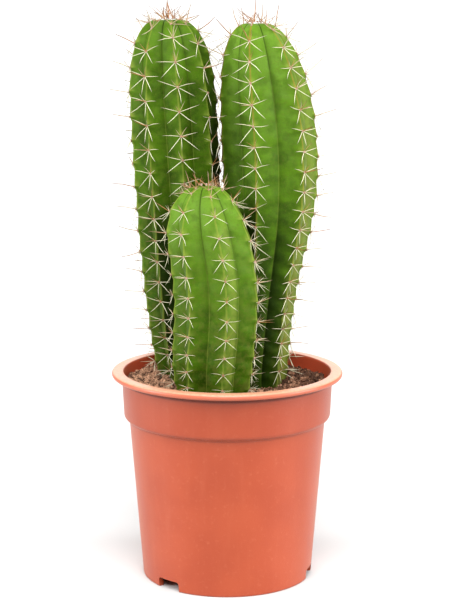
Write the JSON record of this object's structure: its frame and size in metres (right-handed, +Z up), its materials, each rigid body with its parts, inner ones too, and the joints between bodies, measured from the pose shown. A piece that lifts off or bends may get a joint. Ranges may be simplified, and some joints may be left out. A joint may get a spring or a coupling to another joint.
{
  "type": "potted polaskia chende",
  "caption": "Columnar ribbed cactus with spiny, domed stems of unlike height, in granular potting soil in a round tapered plastic nursery pot with a flared rim.",
  "frame": {"origin": "centre of the pot's foot, on the surface it stands on", "axes": "+Z up along the pot's axis, -Y towards the viewer of the reference view, with the shortest stem at the front, +X to that viewer's right"},
  "size_m": [0.1703, 0.17, 0.4203],
  "materials": {
    "pot_plastic": "satin",
    "potting_soil": "matte",
    "cactus_flesh": "satin",
    "cactus_spine": "satin",
    "areole_felt": "matte"
  },
  "bodies": {
    "root": {"pot": "pot_plastic", "soil": "potting_soil", "stem_left": "cactus_flesh", "stem_right": "cactus_flesh", "stem_front": "cactus_flesh"}
  },
  "joints": []
}
